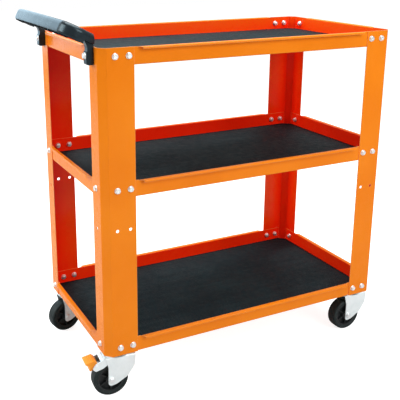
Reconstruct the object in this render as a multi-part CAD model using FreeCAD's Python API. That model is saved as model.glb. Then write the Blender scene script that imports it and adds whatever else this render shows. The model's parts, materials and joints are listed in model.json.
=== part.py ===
import FreeCAD, Part
import math
import os

# Three-shelf steel tool cart on four swivel casters, with a moulded pull handle at one end.
# Millimetres, +Z up. The origin is on the floor, under the middle of the whole cart's box.
# +X runs away from the handle, one long open side faces -Y, and the floor is at z = 0.

Vector = FreeCAD.Vector

# ---------------------------------------------------------------- driving dimensions
cart_length = 900.0          # over the outer end faces of the posts
cart_width = 480.0           # over the outer front and rear faces of the posts
post_height = 820.0          # the posts run from the lowest tray's underside to the top rim
caster_height = 134.0        # floor to the underside of the lowest tray

sheet = 1.5                  # steel sheet of posts and trays
inside_bend = 1.5            # inside radius of every fold

post_face = 90.0             # post flange on the long side
post_end = 70.0              # post flange on the short side
post_bevel = 18.0            # 45 degree corner between the two flanges, measured along each

tray_depth = 44.0            # rim height over the tray's underside
middle_rim = 484.0           # rim of the middle tray over the bottom of the posts
corner_relief = 22.0         # the tray walls stop this far short of the posts' corner
hem_reach = 10.5             # the rim's folded lip stands this far proud of the posts
hem_drop = 5.5
hem_gap = 9.0                # between a post's edge and the start of the lip

mat_thickness = 3.5
mat_gap = 3.0                # between the rubber mat and the tray walls
floor_strip = 20.0           # width of floor that each wall is folded up from

bolt_size = 8.0
bolt_hole = 8.6
bolt_point = 1.0             # chamfer at the end of a bolt
head_across = 12.5           # across flats, bolts and nuts
head_height = 5.4
dish_radius = 9.0            # ball that hollows the top of a bolt head
dish_depth = 0.4
flange_diameter = 16.5
flange_edge = 0.6            # straight edge of the flange under its cone
flange_cone = 1.9
nut_height = 6.4
bolt_tail = 2.2              # thread standing past the nut
crowned_head_radius = 7.8    # low round heads of the caster bolts
crowned_head_height = 2.0
crowned_head_ball = 17.0
head_clearance = 1.2         # around a caster bolt's head in the lowest mat
face_bolts = (40.0, 76.0)    # bolt lines on the long flange, from the cart's end
end_bolt = 45.0              # bolt line on the short flange, from the cart's side
bolt_rise = 23.0             # bolts over the underside of their tray
spare_hole_height = 355.0    # unused set of holes for a lower middle tray
spare_shift = 2.0            # the spare holes sit this much nearer the corner

handle_out = 68.0            # middle of the grip beyond the posts
handle_rise = 46.0           # middle of the grip over the top rim
grip_across = 32.0
grip_high = 36.0
grip_round = 12.0
grip_slope = 27.5            # degrees, the arms climb away from the cart
grip_corner = 26.0           # centre line radius where the arms turn into the grip
grip_half = 215.0            # centre line's corners from the cart's middle plane
grip_bow = 8.0               # rise of the grip's line from those corners to its middle
bow_radius = 4000.0
grip_wall = 3.0
grip_top_wall = 5.0
grip_rib_pitch = 24.0
grip_rib = 2.0
skirt_end = 30.0             # the arms keep their full depth down to this far out
neck_high = 24.0             # depth of the arms from there to the posts
foot_width = 19.0
foot_thickness = 19.0
foot_step = 3.0              # the foot is this much thinner above its bolt
foot_bottom = 777.0          # over the bottom of the posts

caster_inset_x = 46.0        # swivel axis from the cart's end face
caster_inset_y = 44.0        # swivel axis from the cart's side face
braked_casters = (("front", "left"), ("rear", "right"))
caster_turn = {              # degrees each caster has swivelled from trailing along -X
    ("front", "left"): -5.0,
    ("front", "right"): 0.0,
    ("rear", "left"): 10.0,
    ("rear", "right"): 0.0,
}
trail = 22.0                 # axle behind the swivel axis
wheel_radius = 50.0
wheel_width = 34.0
tyre_shoulder = 5.0
rim_radius = 38.0
hub_width = 38.0
hub_radius = 14.0
axle_radius = 5.0
sleeve_radius = 7.5
running_gap = 0.06           # radial clearance of every bearing fit
axle_head_across = 13.0
axle_head_height = 5.0
axle_tail = 6.0              # end of the axle bolt past the far fork leg
washer_radius = 9.0
washer_thickness = 1.0
plate_x = 84.0
plate_y = 70.0
plate_thickness = 3.0
plate_corner = 8.0
cup_rounding = 3.0
plate_bolt_x = 30.0          # plate holes from the swivel axis
plate_bolt_y = 22.5
race_radius = 28.0
race_bottom = 122.0
ball_ring = 21.0
ball_radius = 3.0
ball_count = 18
crown_top = 119.0
crown_radius = 36.0
fork_sheet = 2.5
fork_outside = 23.0          # outer face of each fork leg from the wheel's middle plane
kingpin_radius = 8.0
kingpin_head_radius = 13.0
kingpin_head_height = 4.0
kingpin_play = 0.4           # between the kingpin's head and the crown
kingpin_sunk = 0.3           # top of the kingpin under the plate's face
ball_grip = 0.05             # the plate's groove over the balls' radius
ball_play = 0.4              # the crown's groove over the balls' radius
brake_pivot = (-63.0, 98.0)  # x from the swivel axis, height over the floor
brake_pin_radius = 3.0
pin_head_radius = 5.0
pin_head_height = 1.6
cheek_inside = 18.5          # brake bracket cheeks from the wheel's middle plane
cheek_sheet = 2.0
barrel_radius = 7.0          # pedal barrel around the pin
pedal_reach = 31.0           # upper lip of the pedal beyond the pin
pedal_rise = 19.0            # top of the pedal over the pin
pedal_lip = 14.5             # upper lip over the pin
pedal_flare = 10.5           # over the pin the pedal is wider than its barrel from here up
pedal_taper = 0.255          # half width gained per unit of height
cam_reach = 13.0             # brake shoe's nose from the pedal pin
cam_width = 24.0
cam_rest_turn = 31.0         # degrees the nose is turned away from the tread at rest

# ---------------------------------------------------------------- derived sizes
half_length = cart_length / 2
half_width = cart_width / 2
slope = math.radians(grip_slope)
handle_reach = (handle_out + grip_round + (grip_across / 2 - grip_round) * math.cos(slope)
                + (grip_high / 2 - grip_round) * math.sin(slope))
shift_x = (handle_reach - hem_reach) / 2        # puts the origin under the middle of the box
top_z = caster_height + post_height
tray_floors = {
    "top": top_z - tray_depth,
    "middle": caster_height + middle_rim - tray_depth,
    "bottom": caster_height,
}
ends = {"left": -1, "right": 1}
sides = {"front": -1, "rear": 1}
outside_bend = inside_bend + sheet
axle_z = wheel_radius


# ---------------------------------------------------------------- shape helpers
def box(low, high):
    """Block between two opposite corners."""
    size = Vector(*high) - Vector(*low)
    return Part.makeBox(size.x, size.y, size.z, Vector(*low))


def rod(radius, start, end):
    """Round bar from start to end."""
    run = Vector(*end) - Vector(*start)
    return Part.makeCylinder(radius, run.Length, Vector(*start), run)


def to_plane(plane):
    """Maps an outline's (u, v) to a point in the named plane through the origin."""
    return {
        "xy": lambda u, v: Vector(u, v, 0),
        "xz": lambda u, v: Vector(u, 0, v),
        "yz": lambda u, v: Vector(0, u, v),
    }[plane]


def rounded_wire(corners, place, closed=True):
    """Line through (u, v, radius) corners, each rounded by its own radius and put in space."""
    count = len(corners)
    stretches = []
    for index, (u, v, radius) in enumerate(corners):
        here = Vector(u, v, 0)
        back = Vector(*corners[index - 1][:2], 0) - here
        ahead = Vector(*corners[(index + 1) % count][:2], 0) - here
        back.normalize()
        ahead.normalize()
        if radius <= 0:
            stretches.append((here, None, here))
            continue
        half = back.getAngle(ahead) / 2
        reach = radius / math.tan(half)
        bisector = back + ahead
        bisector.normalize()
        middle = here + bisector * (radius / math.sin(half) - radius)
        stretches.append((here + back * reach, middle, here + ahead * reach))
    edges = []
    for index, (start, middle, end) in enumerate(stretches):
        if middle is not None:
            arc = [place(point.x, point.y) for point in (start, middle, end)]
            edges.append(Part.Arc(*arc).toShape())
        following = stretches[(index + 1) % count][0]
        if (closed or index + 1 < count) and end.distanceToPoint(following) > 1e-6:
            edges.append(Part.makeLine(place(end.x, end.y), place(following.x, following.y)))
    return Part.Wire(edges)


def prism(corners, plane, start, length):
    """Rounded outline made solid along the axis that its plane leaves out."""
    axis = {"xy": Vector(0, 0, 1), "xz": Vector(0, 1, 0), "yz": Vector(1, 0, 0)}[plane]
    face = Part.Face(rounded_wire(corners, to_plane(plane)))
    solid = face.extrude(axis * length)
    solid.translate(axis * start)
    return solid


def folded_outline(path, thickness=sheet, inside=inside_bend):
    """Outline of a folded sheet: the path is one face, and the metal lies on its left."""
    outside = inside + thickness
    points = [Vector(u, v, 0) for u, v in path]
    normals = []
    for here, following in zip(points, points[1:]):
        run = following - here
        run.normalize()
        normals.append(Vector(-run.y, run.x, 0))
    near = [(path[0][0], path[0][1], 0)]
    first = points[0] + normals[0] * thickness
    far = [(first.x, first.y, 0)]
    for index in range(1, len(points) - 1):
        before = normals[index - 1]
        after = normals[index]
        miter = (before + after) * (thickness / (1 + before.dot(after)))
        offset = points[index] + miter
        turns_left = before.cross(after).z > 0
        near_radius = outside if turns_left else inside
        far_radius = inside if turns_left else outside
        near.append((points[index].x, points[index].y, near_radius))
        far.append((offset.x, offset.y, far_radius))
    last = points[-1] + normals[-1] * thickness
    near.append((path[-1][0], path[-1][1], 0))
    far.append((last.x, last.y, 0))
    return near + far[::-1]


def joined(shapes):
    """One solid from touching or overlapping shapes."""
    whole = shapes[0].fuse(shapes[1:]) if len(shapes) > 1 else shapes[0]
    return whole.removeSplitter()


def moved(shape, offset, turn=0.0, axis=(0, 0, 1)):
    """Copy of a shape, turned about an axis through its own origin and then shifted."""
    result = shape.copy()
    result.rotate(Vector(0, 0, 0), Vector(*axis), turn)
    result.translate(Vector(*offset))
    return result


def mirrored(shape, flip_x, flip_y):
    """Copy mirrored across the planes x = 0 and y = 0 as asked."""
    result = shape
    if flip_x:
        result = result.mirror(Vector(0, 0, 0), Vector(1, 0, 0))
    if flip_y:
        result = result.mirror(Vector(0, 0, 0), Vector(0, 1, 0))
    return result


# ---------------------------------------------------------------- where the bolts go
def bolt_places(floor_z):
    """Outer end and inward direction of each bolt that holds one tray to the posts."""
    height = floor_z + bolt_rise
    places = []
    for end in ends.values():
        for side in sides.values():
            for inset in face_bolts:
                places.append(((end * (half_length - inset), side * half_width, height), (0, -side, 0)))
            places.append(((end * half_length, side * (half_width - end_bolt), height), (-end, 0, 0)))
    return places


def carries_handle(place, inward):
    """The top bolts on the left end faces also hold the handle's feet."""
    return inward[0] > 0 and place[2] > tray_floors["top"]


def frame_holes():
    """Cutters for every bolt hole that posts and trays share."""
    cutters = []
    for floor_z in tray_floors.values():
        for place, inward in bolt_places(floor_z):
            middle = Vector(*place)
            run = Vector(*inward) * (3 * outside_bend)
            cutters.append(rod(bolt_hole / 2, middle - run, middle + run))
    return Part.makeCompound(cutters)


def spare_holes():
    """Cutters for the unused holes in the posts alone."""
    height = caster_height + spare_hole_height
    reach = 3 * sheet
    cutters = []
    for end in ends.values():
        for inset in face_bolts:
            x = end * (half_length - inset + spare_shift)
            for side in sides.values():
                y = side * half_width
                cutters.append(rod(bolt_hole / 2, (x, y - reach, height), (x, y + reach, height)))
        for side in sides.values():
            y = side * (half_width - end_bolt)
            x = end * half_length
            cutters.append(rod(bolt_hole / 2, (x - reach, y, height), (x + reach, y, height)))
    return Part.makeCompound(cutters)


# ---------------------------------------------------------------- sheet metal frame
def make_post(end, side, holes):
    """Angle post with a bevelled corner, its flanges along one long side and one end."""
    path = [
        (post_face - half_length, -half_width),
        (post_bevel - half_length, -half_width),
        (-half_length, post_bevel - half_width),
        (-half_length, post_end - half_width),
    ]
    outline = folded_outline(path[::-1])
    post = prism(outline, "xy", caster_height, post_height)
    return mirrored(post, end > 0, side > 0).cut(holes)


def make_wall(half_span, half_across, post_flange):
    """One tray wall along X at y = -half_across, with its strip of floor and its folded lip."""
    outer = -half_across + sheet
    lip = -half_across - hem_reach
    wall_path = [(outer, tray_depth - outside_bend), (outer, 0.0), (outer + floor_strip, 0.0)]
    wall = prism(folded_outline(wall_path), "yz", -half_span + corner_relief,
                 2 * (half_span - corner_relief))
    plain_top = box((-half_span + corner_relief, outer, tray_depth - outside_bend),
                    (half_span - corner_relief, outer + sheet, tray_depth))
    lip_half = half_span - post_flange - hem_gap
    lip_path = [(lip, tray_depth - hem_drop), (lip, tray_depth), (outer + sheet, tray_depth),
                (outer + sheet, tray_depth - 3 * outside_bend)]
    lip_outline = folded_outline(lip_path[::-1])
    hem = prism(lip_outline, "yz", -lip_half, 2 * lip_half)
    run = outer - lip
    for end in (-1, 1):
        corner = [(end * lip_half, outer, 0), (end * (lip_half + run), outer, 0),
                  (end * (lip_half + run), lip - run, 0), (end * (lip_half - 2 * run), lip - run, 0)]
        hem = hem.cut(prism(corner, "xy", 0, 2 * tray_depth))
    window = box((-lip_half, outer - sheet, tray_depth - outside_bend),
                 (lip_half, outer + 2 * sheet, tray_depth + sheet))
    return joined([wall, plain_top.cut(window), hem])


def make_tray(floor_z, holes):
    """Shallow tray: a floor with cropped corners and four folded walls with lips."""
    x = half_length - sheet
    y = half_width - sheet
    crop = corner_relief - sheet
    inset = outside_bend
    corners = []
    for sx, sy in ((-1, -1), (1, -1), (1, 1), (-1, 1)):
        along = (sx * (x - crop), sy * (y - inset), 0)
        across = (sx * (x - inset), sy * (y - crop), 0)
        corners += [across, along] if sx * sy > 0 else [along, across]
    floor = prism(corners, "xy", 0, sheet)
    long_wall = make_wall(half_length, half_width, post_face)
    short_wall = make_wall(half_width, half_length, post_end)
    walls = [moved(long_wall, (0, 0, 0), turn) for turn in (0, 180)]
    walls += [moved(short_wall, (0, 0, 0), turn) for turn in (90, 270)]
    tray = joined([floor] + walls)
    return moved(tray, (0, 0, floor_z)).cut(holes)


def make_mat(floor_z, recesses):
    """Rubber sheet that lies on a tray floor, with cropped corners."""
    x = half_length - 2 * sheet - mat_gap
    y = half_width - 2 * sheet - mat_gap
    crop = corner_relief
    corners = [(-x + crop, -y, 1), (x - crop, -y, 1), (x, -y + crop, 1), (x, y - crop, 1),
               (x - crop, y, 1), (-x + crop, y, 1), (-x, y - crop, 1), (-x, -y + crop, 1)]
    mat = prism(corners, "xy", floor_z + sheet, mat_thickness)
    return mat.cut(recesses) if recesses else mat


# ---------------------------------------------------------------- fasteners
def hex_block(across_flats, height):
    """Six-sided block standing on z = 0, with its upper corners turned off."""
    radius = across_flats / 2 / math.cos(math.pi / 6)
    corners = []
    for index in range(6):
        angle = math.radians(60 * index)
        corners.append((radius * math.cos(angle), radius * math.sin(angle), 0))
    block = prism(corners, "xy", 0, height)
    top_radius = 0.48 * across_flats
    spread = height * math.sqrt(3)
    return block.common(Part.makeCone(top_radius + spread, top_radius, height))


def flange():
    """Round flange under a bolt head or nut: a straight edge and a cone up to the flats."""
    cone = Part.makeCone(flange_diameter / 2, head_across / 2, flange_cone, Vector(0, 0, flange_edge))
    return joined([Part.makeCylinder(flange_diameter / 2, flange_edge), cone])


def hex_bolt(grip):
    """Flanged hex bolt, head above z = 0 and shank below, with its tail past the nut."""
    head = hex_block(head_across, head_height)
    dish = Part.makeSphere(dish_radius, Vector(0, 0, head_height + dish_radius - dish_depth))
    end = -(grip + nut_height + bolt_tail)
    shank = rod(bolt_size / 2, (0, 0, 0), (0, 0, end + bolt_point))
    point = Part.makeCone(bolt_size / 2, bolt_size / 2 - bolt_point, bolt_point,
                          Vector(0, 0, end + bolt_point), Vector(0, 0, -1))
    return joined([head.cut(dish), flange(), shank, point])


def hex_nut():
    """Flanged hex nut, its flange on z = 0 and its body above, around the shank."""
    body = hex_block(head_across, nut_height)
    bore = rod(bolt_size / 2, (0, 0, -nut_height), (0, 0, 2 * nut_height))
    return joined([body, flange()]).cut(bore)


def aimed(shape, place, direction):
    """Copy with its own +Z turned to a direction and its own origin put at a place."""
    result = shape.copy()
    turn = FreeCAD.Rotation(Vector(0, 0, 1), Vector(*direction))
    result.Placement = FreeCAD.Placement(Vector(*place), turn).multiply(result.Placement)
    return result


def tray_fasteners(floor_z):
    """The bolts and nuts of one tray, leaving out the two that hold the handle."""
    bolts = []
    nuts = []
    for place, inward in bolt_places(floor_z):
        outward = [-part for part in inward]
        inner_face = Vector(*place) + Vector(*inward) * (2 * sheet)
        nuts.append(aimed(hex_nut(), inner_face, inward))
        if not carries_handle(place, inward):
            bolts.append(aimed(hex_bolt(2 * sheet), place, outward))
    return bolts, nuts


# ---------------------------------------------------------------- pull handle
def grip_section(across, high, round_off, drop):
    """Rounded rectangle around the arm's start, square to the arm."""
    half = across / 2
    low = -high / 2 - drop
    top = high / 2 - drop
    corners = [(-half, low), (half, low), (half, top), (-half, top)]
    wire = rounded_wire([(y, z, round_off) for y, z in corners], to_plane("yz"))
    wire.rotate(Vector(0, 0, 0), Vector(0, 1, 0), grip_slope)
    wire.rotate(Vector(0, 0, 0), Vector(math.sin(slope), 0, math.cos(slope)), arm_splay())
    return wire


def arm_length():
    """Length of the arms along their slope, from the posts to the grip's corners."""
    turn = math.atan2(grip_bow, grip_half)
    rounded_off = bow_radius * (1 / math.cos(turn) - 1)
    return handle_out / math.cos(slope) - grip_bow + rounded_off


def arm_splay():
    """Degrees that the arms spread apart on their way out."""
    return math.degrees(math.atan2(grip_half - (half_width - end_bolt), arm_length()))


def make_handle():
    """Moulded handle: a bowed grip hollow from below, two splayed arms and two bolted feet."""
    out = Vector(-math.cos(slope), 0, math.sin(slope))
    side = Vector(0, 1, 0)
    foot_y = half_width - end_bolt
    middle = Vector(-half_length - handle_out, 0, top_z + handle_rise)
    root = middle - out * (handle_out / math.cos(slope))
    back = grip_high
    root_y = foot_y - back * math.tan(math.radians(arm_splay()))
    line = [(-back, -root_y, 0), (arm_length(), -grip_half, grip_corner),
            (arm_length() + grip_bow, 0, bow_radius),
            (arm_length(), grip_half, grip_corner), (-back, root_y, 0)]
    spine = rounded_wire(line, lambda reach, y: root + out * reach + side * y, closed=False)
    start = root - out * back - side * root_y

    def swept(across, high, round_off, drop):
        section = grip_section(across, high, round_off, drop)
        section.translate(start)
        return spine.makePipeShell([section], True, False)

    grip = swept(grip_across, grip_high, grip_round, 0)
    hollow = swept(grip_across - 2 * grip_wall, grip_high, grip_round - grip_wall, grip_top_wall)
    necks = box((-half_length - skirt_end, -half_width, 0), (half_length, half_width, 2 * top_z))
    cart = box((-half_length, -half_width, 0), (half_length, half_width, 2 * top_z))
    shell = grip.cut(hollow.cut(necks)).cut(under_necks()).cut(cart)
    straight = 2 * (grip_half - grip_corner)
    rib_count = int(straight / grip_rib_pitch)
    ribs = []
    for index in range(rib_count + 1):
        y = straight * (index / rib_count - 0.5)
        rib = box((-grip_across, y - grip_rib / 2, -grip_high / 2 + grip_wall / 2),
                  (grip_across, y + grip_rib / 2, grip_high))
        rib.rotate(Vector(0, 0, 0), side, grip_slope)
        ribs.append(moved(rib, middle).common(grip))
    feet = [make_handle_foot(direction * foot_y) for direction in (-1, 1)]
    return joined([shell] + ribs + feet)


def neck_top():
    """Height of the arms' upper edge where they meet the posts."""
    return top_z + handle_rise - handle_out * math.tan(slope) + grip_high / 2 / math.cos(slope)


def under_necks():
    """Cutter for the space under the necks, between the deep arms and the posts."""
    face = -half_length
    under = neck_top() - neck_high
    notch = [(face, foot_bottom, 0), (face, under, 0),
             (face - skirt_end, under + skirt_end * math.tan(slope), 5), (face - skirt_end, foot_bottom, 0)]
    return prism(notch, "xz", -half_width, cart_width)


def make_handle_foot(foot_y):
    """Flat foot bolted to the post, with a rounded corner into its neck."""
    face = -half_length
    foot_z = caster_height + foot_bottom
    top = neck_top() - grip_round
    slim = face - foot_thickness + foot_step
    outline = [
        (face, foot_z, 3),
        (face, top, 0),
        (slim - 8, top, 0),
        (slim, neck_top() - neck_high - 6, 8),
        (slim, foot_z + 34, 4),
        (face - foot_thickness, foot_z + 30, 2),
        (face - foot_thickness, foot_z, 5),
    ]
    foot = prism(outline, "xz", foot_y - foot_width / 2, foot_width)
    hole_z = tray_floors["top"] + bolt_rise
    return foot.cut(rod(bolt_hole / 2, (face - 2 * foot_thickness, foot_y, hole_z), (face, foot_y, hole_z)))


# ---------------------------------------------------------------- swivel caster
def make_plate():
    """Top plate with its pressed bearing cup, around the swivel axis."""
    x = plate_x / 2
    y = plate_y / 2
    corners = [(sx * x, sy * y, plate_corner) for sx, sy in ((-1, -1), (1, -1), (1, 1), (-1, 1))]
    plate = prism(corners, "xy", caster_height - plate_thickness, plate_thickness)
    cup = rod(race_radius, (0, 0, race_bottom), (0, 0, caster_height - plate_thickness))
    lower_rim = [edge for edge in cup.Edges if abs(edge.BoundBox.ZMax - race_bottom) < 0.01]
    cup = cup.makeFillet(cup_rounding, lower_rim)
    groove = Part.makeTorus(ball_ring, ball_radius + ball_grip, Vector(0, 0, ball_centre()))
    bore = rod(kingpin_radius, (0, 0, 0), (0, 0, 2 * caster_height))
    plate = joined([plate, cup]).cut(groove).cut(bore)
    return plate.cut([rod(bolt_hole / 2, (x, y, 0), (x, y, 2 * caster_height)) for x, y in plate_bolts()])


def ball_centre():
    """Height of the ball ring, between the cup and the fork's crown."""
    return (race_bottom + crown_top) / 2


def plate_bolts():
    """The plate's four holes, from the swivel axis."""
    return [(sx * plate_bolt_x, sy * plate_bolt_y) for sx in (-1, 1) for sy in (-1, 1)]


def make_balls():
    """The ring of balls that carries the swivel."""
    balls = []
    for index in range(ball_count):
        angle = 2 * math.pi * index / ball_count
        centre = Vector(ball_ring * math.cos(angle), ball_ring * math.sin(angle), ball_centre())
        balls.append(Part.makeSphere(ball_radius, centre))
    return balls


def make_kingpin():
    """Rivet through the plate and the fork's crown, with its head under the crown."""
    head_top = crown_top - fork_sheet - kingpin_play
    head_bottom = head_top - kingpin_head_height
    shank = rod(kingpin_radius, (0, 0, head_top), (0, 0, caster_height - kingpin_sunk))
    head = rod(kingpin_head_radius, (0, 0, head_bottom), (0, 0, head_top))
    lower_rim = [edge for edge in head.Edges if abs(edge.BoundBox.ZMax - head_bottom) < 0.01]
    return joined([shank, head.makeFillet(kingpin_head_height - 1.5, lower_rim)])


def leg_outline():
    """Side view of the fork: a straight rear edge, and a front edge that sweeps down to the axle."""
    front = crown_radius + 11
    return [
        (-crown_radius - 2, crown_top, 0),
        (-trail - 8.5, 88, 30),
        (-trail - 9.8, 32, 9),
        (-trail + 13, 36, 30),
        (front - 22, 55, 34),
        (front - 3, 84, 22),
        (front, crown_top, 0),
    ]


def make_fork():
    """Pressed fork: a round crown over a folded channel whose sides are the two legs."""
    path = [(fork_outside, 0), (fork_outside, crown_top), (-fork_outside, crown_top), (-fork_outside, 0)]
    channel = prism(folded_outline(path, fork_sheet, fork_sheet), "yz", -2 * crown_radius, 4 * crown_radius)
    side_view = prism(leg_outline(), "xz", -fork_outside, 2 * fork_outside)
    crown = rod(race_radius + 1, (0, 0, crown_top - fork_sheet), (0, 0, crown_top))
    fork = joined([channel.common(side_view), crown])
    groove = Part.makeTorus(ball_ring, ball_radius + ball_play, Vector(0, 0, ball_centre()))
    bore = rod(kingpin_radius + running_gap, (0, 0, axle_z + wheel_radius), (0, 0, 2 * crown_top))
    axle = rod(axle_radius, (-trail, -2 * fork_outside, axle_z), (-trail, 2 * fork_outside, axle_z))
    return fork.cut(groove).cut(bore).cut(axle)


def make_axle():
    """Axle bolt with its head at the -Y side, its lock nut, and the sleeve between the legs."""
    washer = Part.makeCylinder(washer_radius, washer_thickness)
    head = hex_block(axle_head_across, axle_head_height)
    shank = rod(axle_radius, (0, 0, -2 * fork_outside - axle_tail), (0, 0, 0))
    bolt = aimed(joined([shank, head, washer]), (-trail, -fork_outside, axle_z), (0, -1, 0))
    bore = rod(axle_radius, (0, 0, -1), (0, 0, 2 * axle_head_height))
    nut = aimed(joined([head, washer]).cut(bore), (-trail, fork_outside, axle_z), (0, 1, 0))
    inner_face = fork_outside - fork_sheet
    sleeve = rod(sleeve_radius, (-trail, -inner_face, axle_z), (-trail, inner_face, axle_z))
    sleeve = sleeve.cut(rod(axle_radius, (-trail, -fork_outside, axle_z), (-trail, fork_outside, axle_z)))
    return bolt, nut, sleeve


def turned(outline):
    """Solid of revolution about the wheel's axle, from (radius, y) points with corner radii."""
    wire = rounded_wire(outline, to_plane("xy"))
    solid = Part.Face(wire).revolve(Vector(0, 0, 0), Vector(0, 1, 0), 360)
    return moved(solid, (-trail, 0, axle_z))


def make_tyre():
    """Solid rubber tyre with rounded shoulders and a slightly crowned tread."""
    half = wheel_width / 2
    outline = [
        (rim_radius, -half + 2, 0.8),
        (rim_radius + 4, -half, 1.5),
        (wheel_radius - 0.6, -half, tyre_shoulder),
        (wheel_radius, 0, 60),
        (wheel_radius - 0.6, half, tyre_shoulder),
        (rim_radius + 4, half, 1.5),
        (rim_radius, half - 2, 0.8),
    ]
    return turned(outline)


def make_hub():
    """Moulded hub: rim, web and boss, stiffened by radial ribs on both sides."""
    rim_half = wheel_width / 2 - 2
    web_half = 4.0
    boss_half = hub_width / 2
    bore = sleeve_radius + running_gap
    outline = [
        (bore, -boss_half, 0), (hub_radius, -boss_half, 1), (hub_radius + 1, -web_half, 2),
        (rim_radius - 6, -web_half, 2), (rim_radius - 4, -rim_half, 0), (rim_radius, -rim_half, 0),
        (rim_radius, rim_half, 0), (rim_radius - 4, rim_half, 0), (rim_radius - 6, web_half, 2),
        (hub_radius + 1, web_half, 2), (hub_radius, boss_half, 1), (bore, boss_half, 0),
    ]
    hub = turned(outline)
    ribs = []
    for index in range(6):
        rib = box((hub_radius - 1, -rim_half + 2.5, -1.25), (rim_radius - 4, rim_half - 2.5, 1.25))
        ribs.append(moved(moved(rib, (0, 0, 0), 60 * index + 30, (0, 1, 0)), (-trail, 0, axle_z)))
    return joined([hub] + ribs)


# ---------------------------------------------------------------- toe brake
def make_brake_bracket():
    """Steel bracket from the crown's trailing edge, with a cheek each side of the pedal pin."""
    px, pz = brake_pivot
    outside = cheek_inside + cheek_sheet
    cheek = [
        (-trail - 4, crown_top - fork_sheet, 0),
        (-crown_radius - 6, crown_top - fork_sheet, 4),
        (px - 2, pz + 9, 8),
        (px - 12, pz - 5, 6),
        (px - 2, pz - 14, 6),
        (-trail - 22, pz - 8, 10),
        (-trail - 4, pz + 4, 4),
    ]
    block = prism(cheek, "xz", -outside, 2 * outside)
    top_cut = [
        (-trail, 0, 0), (-trail, crown_top - fork_sheet - cheek_sheet, 0),
        (-crown_radius - 6.5, crown_top - fork_sheet - cheek_sheet, 2),
        (px + 12, pz + 12.2, 0), (px + 12, pz + 40, 0), (px - 60, pz + 40, 0), (px - 60, 0, 0),
    ]
    block = block.cut(prism(top_cut, "xz", -cheek_inside, 2 * cheek_inside))
    pin_hole = rod(brake_pin_radius, (px, -2 * outside, pz), (px, 2 * outside, pz))
    return block.cut(pin_hole).cut(make_fork())


def make_brake_pin():
    """Rivet that the pedal rocks on."""
    px, pz = brake_pivot
    outside = cheek_inside + cheek_sheet
    shank = rod(brake_pin_radius, (px, -outside, pz), (px, outside, pz))
    heads = [rod(pin_head_radius, (px, side * outside, pz), (px, side * (outside + pin_head_height), pz))
             for side in (-1, 1)]
    return joined([shank] + heads)


def make_pedal():
    """Toe pedal: a barrel on the pin, and a hollowed tread that narrows towards its foot."""
    px, pz = brake_pivot
    inner = cheek_inside - 0.6
    barrel = rod(barrel_radius, (px, -inner, pz), (px, inner, pz))
    tread = [
        (px + 1, pz + 14, 3),
        (px - 6, pz + pedal_rise, 4),
        (px - pedal_reach, pz + pedal_lip, 1.4),
        (px - pedal_reach + 1, pz + pedal_lip - 3.5, 1.2),
        (px - 17, pz + 3, 9),
        (px - 18, pz - 12, 1.5),
        (px - 14, pz - 15, 2),
        (px - 4, pz - 7, 0),
        (px + 4, pz + 2, 0),
    ]
    span = pedal_reach
    low_half = inner - (span + pedal_flare) * pedal_taper
    high_half = inner + (span - pedal_flare) * pedal_taper
    front_view = [(-low_half, pz - span, 0), (low_half, pz - span, 0),
                  (high_half, pz + span, 0), (-high_half, pz + span, 0)]
    pedal = prism(tread, "xz", -high_half, 2 * high_half)
    pedal = pedal.common(prism(front_view, "yz", px - 2 * span, 3 * span))
    fall = (pedal_rise - pedal_lip) / (pedal_reach - 6)
    ridges = []
    for index in range(3):
        step = 5 + 5 * index
        z = pz + pedal_rise - 0.3 - step * fall
        ridges.append(rod(1.1, (px - 6 - step, -inner, z), (px - 6 - step, inner, z)))
    bore = rod(brake_pin_radius + running_gap, (px, -2 * inner, pz), (px, 2 * inner, pz))
    return joined([barrel, pedal] + ridges).cut(bore)


def make_brake_shoe():
    """Steel nose on the pedal's barrel that presses the tread when the pedal is down."""
    px, pz = brake_pivot
    to_axle = math.degrees(math.atan2(axle_z - pz, -trail - px))
    half = cam_width / 2
    root = barrel_radius - 1.5
    shoulder = cam_reach - 0.6
    nose = [(root, -4, 0), (shoulder, -3.5, 1.2), (shoulder, 3.5, 1.2), (root, 4, 0)]
    block = moved(prism(nose, "xz", -half, cam_width), (px, 0, pz), cam_rest_turn - to_axle, (0, 1, 0))
    return block.cut(rod(barrel_radius, (px, -cam_width, pz), (px, cam_width, pz)))


# ---------------------------------------------------------------- putting it together
def caster_place(end, side):
    """Where a caster's swivel axis meets the floor."""
    return (end * (half_length - caster_inset_x), side * (half_width - caster_inset_y), 0)


def build_casters(nodes):
    """Adds the four casters, two of them with toe brakes."""
    fixed = {"kingpins": [make_kingpin()], "swivel_balls": make_balls()}
    turning = {"fork": make_fork()}
    turning["axle_bolt"], turning["axle_nut"], turning["axle_sleeve"] = make_axle()
    turning["tyre"] = make_tyre()
    turning["hub"] = make_hub()
    braking = {
        "brake_bracket": make_brake_bracket(),
        "brake_pin": make_brake_pin(),
        "brake_pedal": make_pedal(),
        "brake_shoe": make_brake_shoe(),
    }
    groups = {name: [] for name in fixed}
    for side_name, side in sides.items():
        for end_name, end in ends.items():
            place = caster_place(end, side)
            prefix = f"{side_name}_{end_name}_"
            nodes[prefix + "caster_plate"] = moved(make_plate(), place)
            for name, solids in fixed.items():
                groups[name] += [moved(solid, place) for solid in solids]
            pieces = dict(turning)
            if (side_name, end_name) in braked_casters:
                pieces.update(braking)
            for name, solid in pieces.items():
                nodes[prefix + name] = moved(solid, place, caster_turn[side_name, end_name])
    for name, solids in groups.items():
        nodes[name] = Part.makeCompound(solids)


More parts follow.
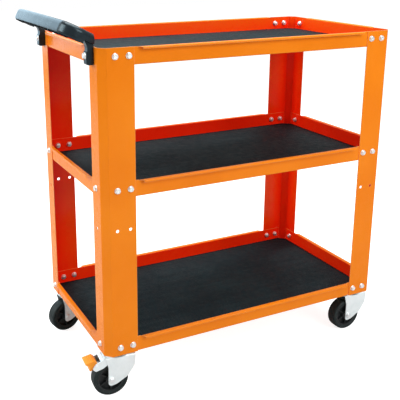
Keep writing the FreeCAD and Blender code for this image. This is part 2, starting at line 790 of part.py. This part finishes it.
def caster_fasteners():
    """Low round-headed bolts down through the lowest tray, and the nuts under the plates."""
    floor_top = caster_height + sheet
    under_plate = caster_height - plate_thickness
    ball_z = floor_top + crowned_head_height - crowned_head_ball
    ball = Part.makeSphere(crowned_head_ball, Vector(0, 0, ball_z))
    cap = ball.common(Part.makeCylinder(crowned_head_radius, crowned_head_ball, Vector(0, 0, floor_top)))
    end_z = under_plate - nut_height - bolt_tail
    bolt = joined([cap, rod(bolt_size / 2, (0, 0, end_z), (0, 0, floor_top))])
    nut = aimed(hex_nut(), (0, 0, under_plate), (0, 0, -1))
    places = caster_bolt_places()
    return [moved(bolt, (x, y, 0)) for x, y in places], [moved(nut, (x, y, 0)) for x, y in places]


def caster_bolt_places():
    """All the bolts that hold the four plates under the lowest tray."""
    places = []
    for end in ends.values():
        for side in sides.values():
            centre = caster_place(end, side)
            places += [(centre[0] + x, centre[1] + y) for x, y in plate_bolts()]
    return places


def build_trays(nodes, holes):
    """Adds the three trays with their mats, bolts and nuts."""
    places = caster_bolt_places()
    low_z = caster_height
    recess_radius = crowned_head_radius + head_clearance
    recess_top = low_z + sheet + crowned_head_height + 0.3
    caster_holes = [rod(bolt_hole / 2, (x, y, low_z - sheet), (x, y, low_z + 2 * sheet)) for x, y in places]
    recesses = [rod(recess_radius, (x, y, low_z), (x, y, recess_top)) for x, y in places]
    for name, floor_z in tray_floors.items():
        lowest = name == "bottom"
        cutters = Part.makeCompound([holes] + caster_holes) if lowest else holes
        nodes[name + "_tray"] = make_tray(floor_z, cutters)
        nodes[name + "_mat"] = make_mat(floor_z, recesses if lowest else None)
        bolts, nuts = tray_fasteners(floor_z)
        nodes[name + "_tray_bolts"] = Part.makeCompound(bolts)
        nodes[name + "_tray_nuts"] = Part.makeCompound(nuts)


def handle_bolts():
    """The two longer bolts through the handle's feet, a post and the top tray."""
    bolts = []
    for place, inward in bolt_places(tray_floors["top"]):
        if carries_handle(place, inward):
            outward = [-part for part in inward]
            seat = Vector(*place) + Vector(*outward) * foot_thickness
            bolts.append(aimed(hex_bolt(foot_thickness + 2 * sheet), seat, outward))
    return bolts


def build():
    """Every node of the cart, by name, with x still measured from the middle of the posts."""
    nodes = {}
    holes = frame_holes()
    post_holes = Part.makeCompound([holes, spare_holes()])
    for side_name, side in sides.items():
        for end_name, end in ends.items():
            nodes[f"{side_name}_{end_name}_post"] = make_post(end, side, post_holes)
    build_trays(nodes, holes)
    nodes["pull_handle"] = make_handle()
    nodes["handle_bolts"] = Part.makeCompound(handle_bolts())
    build_casters(nodes)
    bolts, nuts = caster_fasteners()
    nodes["caster_bolts"] = Part.makeCompound(bolts)
    nodes["caster_nuts"] = Part.makeCompound(nuts)
    return nodes


os.makedirs("parts", exist_ok=True)
for node_name, node_shape in build().items():
    node_shape.translate(Vector(shift_x, 0, 0))
    node_shape.exportStep(f"parts/{node_name}.step")
    valid = "valid" if node_shape.isValid() else "NOT VALID"
    print(f"{node_name}: {len(node_shape.Solids)} solids, {node_shape.Volume / 1000:.1f} cm3, {valid}")
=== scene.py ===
"""Looks of the shelved tool cart: materials, ribbed mats, floor, studio light and camera."""
import json
import math

import bmesh
import bpy
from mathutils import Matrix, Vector


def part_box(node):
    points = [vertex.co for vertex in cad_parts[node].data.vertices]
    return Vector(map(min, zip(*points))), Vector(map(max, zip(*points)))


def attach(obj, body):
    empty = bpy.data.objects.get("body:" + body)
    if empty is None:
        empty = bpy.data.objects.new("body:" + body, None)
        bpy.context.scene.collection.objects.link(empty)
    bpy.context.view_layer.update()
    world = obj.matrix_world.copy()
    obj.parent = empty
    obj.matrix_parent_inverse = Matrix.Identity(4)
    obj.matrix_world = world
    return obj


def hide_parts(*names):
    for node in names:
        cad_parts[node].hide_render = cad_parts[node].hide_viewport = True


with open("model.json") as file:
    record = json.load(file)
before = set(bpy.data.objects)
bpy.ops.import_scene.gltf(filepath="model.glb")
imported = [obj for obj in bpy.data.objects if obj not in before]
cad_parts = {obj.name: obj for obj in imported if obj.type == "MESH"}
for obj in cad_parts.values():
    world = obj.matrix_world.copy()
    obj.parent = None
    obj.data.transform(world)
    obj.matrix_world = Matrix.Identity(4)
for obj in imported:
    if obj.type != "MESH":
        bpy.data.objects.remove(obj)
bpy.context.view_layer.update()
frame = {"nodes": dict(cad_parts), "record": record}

mm = 0.001
white = (1, 1, 1, 1)


# ---------------------------------------------------------------- material building blocks
class Look:
    """One procedural material, with short calls for the nodes that every material here uses."""

    # Where Blender's Mix node keeps its colour sockets, which share their names with others.
    mix_first = 6
    mix_second = 7
    mix_result = 2

    def __init__(self, name):
        self.material = bpy.data.materials.new(name)
        self.material.use_nodes = True
        self.tree = self.material.node_tree
        self.shader = self.tree.nodes["Principled BSDF"]
        self.place = self.add("ShaderNodeTexCoord").outputs["Object"]

    def add(self, kind, **settings):
        """A new node with its own settings."""
        node = self.tree.nodes.new(kind)
        for key, value in settings.items():
            setattr(node, key, value)
        return node

    def link(self, start, end):
        """Joins an output to an input."""
        self.tree.links.new(start, end)

    def feed(self, socket, value):
        """Puts a constant on a socket, or links an output to it."""
        if isinstance(value, bpy.types.NodeSocket):
            self.link(value, socket)
        else:
            socket.default_value = value

    def fixed(self, **values):
        """Constants on the shader's own sockets, with _ for a space in their names."""
        for key, value in values.items():
            self.shader.inputs[key.replace("_", " ")].default_value = value

    def stretched(self, scale):
        """Object coordinates scaled along each axis."""
        node = self.add("ShaderNodeMapping")
        self.link(self.place, node.inputs["Vector"])
        node.inputs["Scale"].default_value = scale
        return node.outputs["Vector"]

    def noise(self, scale, detail=2.0, rough=0.5, where=None):
        """Fractal noise, with scale in features per metre."""
        node = self.add("ShaderNodeTexNoise")
        self.link(where or self.place, node.inputs["Vector"])
        node.inputs["Scale"].default_value = scale
        node.inputs["Detail"].default_value = detail
        node.inputs["Roughness"].default_value = rough
        return node.outputs["Fac"]

    def spread(self, value, low, high, to_low=0.0, to_high=1.0):
        """Maps low..high onto to_low..to_high, clamped."""
        node = self.add("ShaderNodeMapRange")
        self.link(value, node.inputs["Value"])
        node.inputs["From Min"].default_value = low
        node.inputs["From Max"].default_value = high
        node.inputs["To Min"].default_value = to_low
        node.inputs["To Max"].default_value = to_high
        return node.outputs["Result"]

    def clouds(self, noise, low=0.0, high=1.0):
        """Noise stretched so that its usual swing runs from low to high."""
        usual_low = 0.3
        usual_high = 0.7
        return self.spread(noise, usual_low, usual_high, low, high)

    def math(self, operation, first, second):
        """Arithmetic on two values."""
        node = self.add("ShaderNodeMath", operation=operation)
        self.feed(node.inputs[0], first)
        self.feed(node.inputs[1], second)
        return node.outputs[0]

    def mix(self, factor, first, second):
        """Blend of two colours."""
        node = self.add("ShaderNodeMix", data_type="RGBA")
        self.feed(node.inputs["Factor"], factor)
        self.feed(node.inputs[self.mix_first], first)
        self.feed(node.inputs[self.mix_second], second)
        return node.outputs[self.mix_result]

    def dot(self, first, second):
        """Dot product of two vectors."""
        node = self.add("ShaderNodeVectorMath", operation="DOT_PRODUCT")
        self.link(first, node.inputs[0])
        self.link(second, node.inputs[1])
        return node.outputs["Value"]

    def edges(self, radius):
        """How much a point lies on a sharp edge: 0 on flat faces, rising to 1 on the edge."""
        cosine_on_flat = 0.995
        cosine_on_edge = 0.80
        bevel = self.add("ShaderNodeBevel", samples=6)
        bevel.inputs["Radius"].default_value = radius
        geometry = self.add("ShaderNodeNewGeometry")
        cosine = self.dot(bevel.outputs["Normal"], geometry.outputs["Normal"])
        return self.spread(cosine, cosine_on_flat, cosine_on_edge)

    def openness(self, reach):
        """How open the space in front of a point is, up to reach: 1 in the open, less where
        surfaces close it in. The powder coat paints shade with it.
        """
        node = self.add("ShaderNodeAmbientOcclusion", samples=8)
        node.inputs["Distance"].default_value = reach
        return node.outputs["AO"]

    def facing_inward(self):
        """1 on faces that look towards the cart's upright axis, 0 on those that look away.

        The measure is how far the face's plane lies from the axis, negative if it faces it.
        """
        start = -20 * mm
        full = -80 * mm
        geometry = self.add("ShaderNodeNewGeometry")
        level = self.add("ShaderNodeVectorMath", operation="MULTIPLY")
        self.link(geometry.outputs["Position"], level.inputs[0])
        level.inputs[1].default_value = (1, 1, 0)
        plane = self.dot(level.outputs["Vector"], geometry.outputs["True Normal"])
        return self.spread(plane, start, full)

    def bump(self, height, distance, strength=1.0, under=None):
        """Bump from a height, over another normal if one is given."""
        node = self.add("ShaderNodeBump")
        self.link(height, node.inputs["Height"])
        node.inputs["Distance"].default_value = distance
        node.inputs["Strength"].default_value = strength
        if under is not None:
            self.link(under, node.inputs["Normal"])
        return node.outputs["Normal"]

    def soft_edge(self, radius):
        """Normal that rounds sharp edges a little."""
        bevel = self.add("ShaderNodeBevel", samples=4)
        bevel.inputs["Radius"].default_value = radius
        return bevel.outputs["Normal"]

    def finish(self, colour, roughness, normal):
        """Wires the three main results into the shader."""
        self.feed(self.shader.inputs["Base Color"], colour)
        self.feed(self.shader.inputs["Roughness"], roughness)
        self.link(normal, self.shader.inputs["Normal"])
        return self.material


# ---------------------------------------------------------------- materials
def powder_coat():
    """Orange powder coat: painted shade in deep red on inner faces with little open space in front
    of them, orange peel, and edges lightened by a thinner coat and a painted highlight, and
    chipped.
    """
    deep_orange = (0.76, 0.188, 0.004, 1)
    light_orange = (0.80, 0.214, 0.007, 1)
    painted_shade_red = (0.97, 0.018, 0.001, 1)
    thin_coat_and_highlight = (1.0, 0.58, 0.25, 1)
    bare_steel = (0.30, 0.29, 0.28, 1)
    thin_coat_and_highlight_share = 0.70
    shelf_depth = 0.62
    look = Look("orange_powder_coat")

    tone = look.spread(look.noise(5.0, 3.0), 0.35, 0.65)
    outer = look.mix(tone, deep_orange, light_orange)
    # Painted shade: inner faces with little open space in front of them turn deep red, the way the
    # shade inside the cart looks.
    painted_shade_from_openness = look.spread(look.openness(shelf_depth), 0.68, 0.42)
    painted_shade_share = look.math("MULTIPLY", look.facing_inward(), painted_shade_from_openness)
    paint = look.mix(painted_shade_share, outer, painted_shade_red)

    # Edges lighten to a cream orange: partly a thinner coat, partly a painted highlight along lips
    # and folds. Chips show bare steel.
    edge = look.edges(1.3 * mm)
    paint = look.mix(look.math("MULTIPLY", edge, thin_coat_and_highlight_share), paint, thin_coat_and_highlight)
    chip_spots = look.spread(look.noise(260.0, 4.0, 0.7), 0.60, 0.66)
    paint = look.mix(look.math("MULTIPLY", edge, chip_spots), paint, bare_steel)

    smudge = look.clouds(look.noise(11.0, 5.0, 0.6), 0.20, 0.32)
    specks = look.spread(look.noise(700.0, 2.0), 0.35, 0.65, -0.02, 0.04)
    roughness = look.math("ADD", smudge, specks)
    peel = look.bump(look.noise(620.0, 2.0, 0.4), 0.05 * mm, 0.6, look.soft_edge(0.5 * mm))
    look.fixed(Coat_Weight=0.08, Coat_Roughness=0.10, Specular_IOR_Level=0.10)
    return look.finish(paint, roughness, peel)


def mat_rubber():
    """Black rubber with fine pores, long dusty streaks and a dull sheen."""
    clean = (0.002, 0.006, 0.008, 1)
    dusty = (0.009, 0.019, 0.022, 1)
    along_ribs = (4.0, 110.0, 4.0)
    look = Look("black_mat_rubber")
    streaks = look.noise(1.0, 5.0, 0.6, look.stretched(along_ribs))
    dust = look.spread(look.math("MULTIPLY", streaks, look.noise(5.0, 2.0)), 0.16, 0.40)
    roughness = look.clouds(look.noise(60.0, 4.0), 0.42, 0.60)
    pores = look.bump(look.noise(1500.0, 3.0, 0.6), 0.06 * mm, 0.7)
    look.fixed(Specular_IOR_Level=0.17, Specular_Tint=(0.65, 0.92, 1.0, 1))
    return look.finish(look.mix(dust, clean, dusty), roughness, pores)


def plated_steel(name, tint, shade, rough, grain, metal=1.0):
    """Steel with a cloudy tint, rolled grain along Z and rubbed, softened edges."""
    rubbed = (0.95, 0.95, 0.94, 1)
    rubbed_share = 0.35
    along_z = (900.0, 900.0, 60.0)
    look = Look(name)
    cloud = look.clouds(look.noise(38.0, 4.0, 0.6))
    worn = look.math("MULTIPLY", look.edges(0.6 * mm), rubbed_share)
    colour = look.mix(worn, look.mix(cloud, tint, shade), rubbed)
    roughness = look.clouds(look.noise(120.0, 4.0, 0.6), *rough)
    rolled = look.noise(1.0, 3.0, 0.6, look.stretched(along_z))
    normal = look.bump(rolled, grain, 0.5, look.soft_edge(0.4 * mm))
    look.fixed(Metallic=metal)
    return look.finish(colour, roughness, normal)


def moulded_plastic(name, dark, light, rough, grain, gloss, tint=white, soften=True):
    """Moulded plastic with a spark-eroded grain, slight gloss changes and rubbed edges."""
    rubbed = tuple(min(1.0, 1.6 * part + 0.02) for part in light[:3]) + (1,)
    rubbed_share = 0.25
    look = Look(name)
    tone = look.spread(look.noise(25.0, 3.0), 0.35, 0.65)
    worn = look.math("MULTIPLY", look.edges(1.2 * mm), rubbed_share)
    colour = look.mix(worn, look.mix(tone, dark, light), rubbed)
    roughness = look.clouds(look.noise(45.0, 5.0, 0.6), *rough)
    under = look.soft_edge(0.6 * mm) if soften else None
    normal = look.bump(look.noise(900.0, 2.0, 0.5), grain, 0.5, under)
    # A tint other than white colours the reflections; on the handle it is a painted reflection
    # colour, blue as if from a bluish light.
    look.fixed(Specular_IOR_Level=gloss, Specular_Tint=tint)
    return look.finish(colour, roughness, normal)


def tyre_rubber():
    """Solid tyre: near-black rubber with dust patches and a fine rough skin."""
    clean = (0.006, 0.012, 0.012, 1)
    dusty = (0.018, 0.026, 0.026, 1)
    look = Look("tyre_rubber")
    dust = look.spread(look.noise(55.0, 5.0, 0.65), 0.45, 0.75)
    roughness = look.clouds(look.noise(90.0, 4.0), 0.48, 0.68)
    skin = look.bump(look.noise(1100.0, 4.0, 0.6), 0.08 * mm, 0.7)
    look.fixed(Specular_IOR_Level=0.30)
    return look.finish(look.mix(dust, clean, dusty), roughness, skin)


def floor_paint():
    """Pale seamless studio floor, lifted to white for the eye like a lit backdrop."""
    darker = (0.49, 0.49, 0.49, 1)
    paler = (0.52, 0.52, 0.52, 1)
    lift = 0.84
    look = Look("studio_floor")
    colour = look.mix(look.clouds(look.noise(1.2, 3.0)), darker, paler)
    roughness = look.clouds(look.noise(14.0, 3.0), 0.65, 0.78)
    seen = look.add("ShaderNodeLightPath").outputs["Is Camera Ray"]
    look.link(look.math("MULTIPLY", seen, lift), look.shader.inputs["Emission Strength"])
    look.fixed(Specular_IOR_Level=0.2, Emission_Color=white)
    return look.finish(colour, roughness, look.bump(look.noise(300.0, 2.0), 0.05 * mm, 0.3))


looks = {
    "orange_powder_coat": powder_coat(),
    "black_mat_rubber": mat_rubber(),
    "tyre_rubber": tyre_rubber(),
    "bright_zinc": plated_steel(
        "bright_zinc", tint=(0.93, 0.95, 0.95, 1), shade=(0.84, 0.87, 0.88, 1),
        rough=(0.32, 0.46), grain=0.03 * mm),
    "caster_zinc": plated_steel(
        "caster_zinc", tint=(0.93, 0.99, 1.0, 1), shade=(0.84, 0.91, 0.92, 1),
        rough=(0.36, 0.52), grain=0.04 * mm, metal=0.72),
    "bearing_steel": plated_steel(
        "bearing_steel", tint=(0.62, 0.62, 0.62, 1), shade=(0.50, 0.50, 0.50, 1),
        rough=(0.12, 0.22), grain=0.01 * mm),
    # The handle's blue specular tint is a painted reflection colour.
    "handle_plastic": moulded_plastic(
        "handle_plastic", dark=(0.004, 0.006, 0.008, 1), light=(0.006, 0.009, 0.012, 1),
        rough=(0.26, 0.31), grain=0.006 * mm, gloss=0.46, tint=(0.62, 0.88, 1.0, 1), soften=False),
    "hub_plastic": moulded_plastic(
        "hub_plastic", dark=(0.010, 0.012, 0.013, 1), light=(0.018, 0.020, 0.021, 1),
        rough=(0.42, 0.55), grain=0.05 * mm, gloss=0.35),
    "pedal_plastic": moulded_plastic(
        "pedal_plastic", dark=(0.84, 0.25, 0.004, 1), light=(0.90, 0.31, 0.008, 1),
        rough=(0.30, 0.42), grain=0.04 * mm, gloss=0.35),
}


# ---------------------------------------------------------------- CAD nodes get their materials
slot_of = {part["node"]: part["material_slot"] for part in frame["record"]["subparts"]}
for node, obj in frame["nodes"].items():
    obj.data.materials.clear()
    obj.data.materials.append(looks[slot_of[node]])
    obj.data.polygons.foreach_set("material_index", [0] * len(obj.data.polygons))


# ---------------------------------------------------------------- ribbed rubber mats
def add_mesh(name, build):
    """A new mesh object made by a function that fills a bmesh."""
    mesh = bpy.data.meshes.new(name)
    shape = bmesh.new()
    build(shape)
    bmesh.ops.recalc_face_normals(shape, faces=shape.faces)
    shape.to_mesh(mesh)
    shape.free()
    obj = bpy.data.objects.new(name, mesh)
    bpy.context.scene.collection.objects.link(obj)
    return obj


def mat_lie(x, y):
    """Height of a mat's slight waviness at a point measured from the mat's middle."""
    height = 0.25 * mm
    return height * math.sin(9 * x + 2 * y) * math.cos(13 * y - 4 * x)


def ribbed_mat(tray):
    """Rubber mat cut from a ribbed roll: ribs along X, cropped corners, and a slight lie."""
    low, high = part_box(tray + "_mat")
    middle = (low + high) / 2
    half_x = (high.x - low.x) / 2
    half_y = (high.y - low.y) / 2
    crop = 22 * mm
    rib_pitch = 6.0 * mm
    rib_height = 0.9 * mm
    crest_fullness = 0.6
    rows_per_rib = 8
    steps_along = 40
    last_row = int(2 * half_y / rib_pitch) * rows_per_rib

    def build(shape):
        rows = []
        for index in range(last_row + 1):
            y = -half_y + 2 * half_y * index / last_row
            reach = half_x - max(0.0, abs(y) - (half_y - crop))
            wave = 0.5 - 0.5 * math.cos(2 * math.pi * index / rows_per_rib)
            crest = high.z - rib_height * (1 - wave ** crest_fullness)
            top = []
            for step in range(steps_along + 1):
                x = -reach + 2 * reach * step / steps_along
                point = (middle.x + x, middle.y + y, crest + mat_lie(x, y))
                top.append(shape.verts.new(point))
            ends = [shape.verts.new((middle.x + x, middle.y + y, low.z)) for x in (-reach, reach)]
            rows.append((top, ends))
        for (top, ends), (next_top, next_ends) in zip(rows, rows[1:]):
            for step in range(steps_along):
                shape.faces.new((top[step], top[step + 1], next_top[step + 1], next_top[step]))
            shape.faces.new((ends[0], top[0], next_top[0], next_ends[0]))
            shape.faces.new((top[-1], ends[1], next_ends[1], next_top[-1]))
            shape.faces.new((ends[1], ends[0], next_ends[0], next_ends[1]))
        for top, ends in (rows[0], rows[-1]):
            shape.faces.new([ends[0]] + top + [ends[1]])

    mat = add_mesh(tray + "_ribbed_mat", build)
    mat.data.materials.append(looks["black_mat_rubber"])
    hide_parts(tray + "_mat")
    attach(mat, "frame")


for tray in ("top", "middle", "bottom"):
    ribbed_mat(tray)


# ---------------------------------------------------------------- floor, light and camera
def add_floor():
    """Wide pale floor under the wheels."""
    half_width = 12.0

    def build(shape):
        bmesh.ops.create_grid(shape, x_segments=2, y_segments=2, size=half_width)

    floor = add_mesh("studio_floor", build)
    floor.data.materials.append(floor_paint())


def add_area_light(name, place, size, power, tint=(1, 1, 1)):
    """Square soft light that faces the middle of the cart."""
    cart_middle = Vector((0, 0, 0.5))
    data = bpy.data.lights.new(name, "AREA")
    data.shape = "SQUARE"
    data.size = size
    data.energy = power
    data.color = tint
    light = bpy.data.objects.new(name, data)
    light.location = place
    light.rotation_euler = (cart_middle - light.location).to_track_quat("-Z", "Y").to_euler()
    light.visible_camera = False
    bpy.context.scene.collection.objects.link(light)


def add_world():
    """White surroundings, dimmer for the light that they cast than for the eye."""
    cast_strength = 0.50
    seen_strength = 1.0
    world = bpy.data.worlds.new("studio")
    world.use_nodes = True
    tree = world.node_tree
    seen = tree.nodes.new("ShaderNodeLightPath").outputs["Is Camera Ray"]
    strength = tree.nodes.new("ShaderNodeMapRange")
    strength.inputs["To Min"].default_value = cast_strength
    strength.inputs["To Max"].default_value = seen_strength
    tree.links.new(seen, strength.inputs["Value"])
    background = tree.nodes["Background"]
    background.inputs["Color"].default_value = white
    tree.links.new(strength.outputs["Result"], background.inputs["Strength"])
    bpy.context.scene.world = world
    bpy.context.scene.view_settings.view_transform = "Standard"


def add_camera():
    """Camera off the cart's front left corner, looking slightly down along the trays."""
    from_corner = Vector((-0.599, -1.5694, 1.0481))
    down = 15.625
    turn = 26.352
    data = bpy.data.cameras.new("camera")
    data.sensor_width = 36.0
    data.lens = 64.46
    data.shift_x = 0.0815
    data.shift_y = -0.1308
    camera = bpy.data.objects.new("camera", data)
    camera.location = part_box("front_left_post")[0] + from_corner
    camera.rotation_euler = (math.radians(90 - down), 0, math.radians(-turn))
    bpy.context.scene.collection.objects.link(camera)
    bpy.context.scene.camera = camera


add_floor()
add_world()
add_area_light("left_key", place=(-3.1, 0.8, 2.0), size=1.9, power=84, tint=(0.96, 1.0, 1.0))
add_area_light("front_key", place=(1.0, -3.2, 2.4), size=2.2, power=88)
add_area_light("top_fill", place=(0.3, 0.4, 3.4), size=2.6, power=125)
add_area_light("back_wash", place=(-0.7, 3.4, 1.7), size=2.8, power=58, tint=(0.56, 0.82, 1.0))
add_camera()
